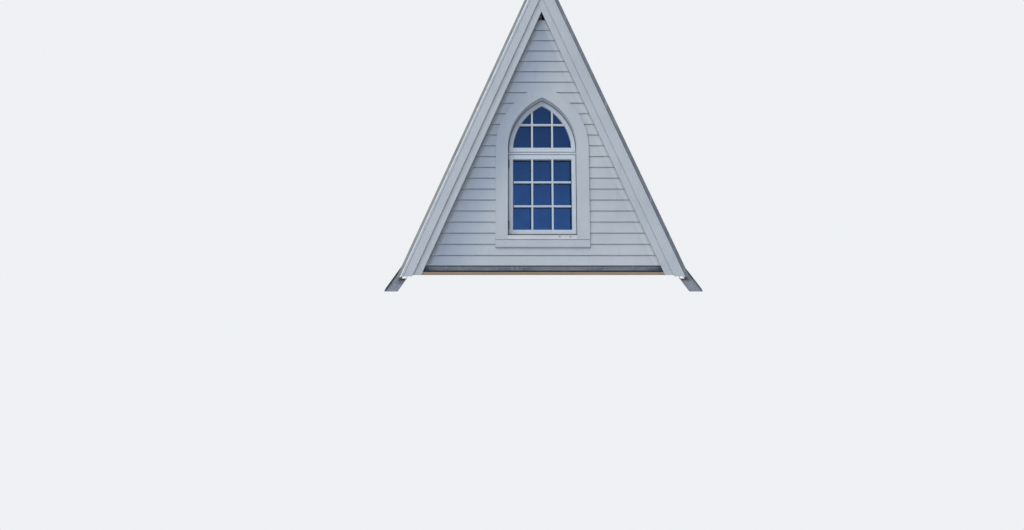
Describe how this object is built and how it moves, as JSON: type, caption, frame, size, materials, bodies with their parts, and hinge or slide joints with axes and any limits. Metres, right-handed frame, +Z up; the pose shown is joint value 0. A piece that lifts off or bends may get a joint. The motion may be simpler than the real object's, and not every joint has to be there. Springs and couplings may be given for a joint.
{
  "type": "dormer window",
  "caption": "Steep gable dormer with a pointed casement window, barge boards and slated slopes that run down to a main roof.",
  "frame": {"origin": "middle of the sole plate's level underside, on the centre line of the dormer", "axes": "-Y towards the viewer, out of the window; +X to the viewer's right; +Z up"},
  "size_m": [3.8164, 3.8465, 4.5841],
  "materials": {
    "white_timber": "matt white paint",
    "bare_timber": "sawn, unpainted",
    "slate": "cleft grey slate",
    "sheet_metal": "dark grey, weathered",
    "glass": "clear, seen against a dark room",
    "hinge_iron": "black"
  },
  "bodies": {
    "root": {"sole_plate": "bare_timber", "window_stud_left": "bare_timber", "window_stud_right": "bare_timber", "side_stud_left": "bare_timber", "side_stud_right": "bare_timber", "rough_sill": "bare_timber", "window_header": "bare_timber", "rafters_left": "bare_timber", "rafters_right": "bare_timber", "ridge_board": "bare_timber", "collar_ties": "bare_timber", "lay_board_left": "bare_timber", "lay_board_right": "bare_timber", "roof_boards_left": "bare_timber", "roof_boards_right": "bare_timber", "slates_left": "slate", "slates_right": "slate", "ridge_cap": "sheet_metal", "verge_cap_left": "sheet_metal", "verge_cap_right": "sheet_metal", "valley_gutter_left": "sheet_metal", "valley_gutter_right": "sheet_metal", "barge_back_left": "white_timber", "barge_back_right": "white_timber", "barge_face_left": "white_timber", "barge_face_right": "white_timber", "gable_sheathing": "bare_timber", "gable_cladding": "white_timber", "apron_flashing": "sheet_metal", "casing_leg_left": "white_timber", "casing_leg_right": "white_timber", "casing_arch_left": "white_timber", "casing_arch_right": "white_timber", "casing_foot": "white_timber", "window_sill": "white_timber", "frame_jamb_left": "white_timber", "frame_jamb_right": "white_timber", "frame_arch_left": "white_timber", "frame_arch_right": "white_timber", "transom": "white_timber", "top_sash": "white_timber", "casement_sash": "white_timber", "top_glass": "glass", "casement_glass": "glass", "hinges": "hinge_iron"}
  },
  "joints": []
}
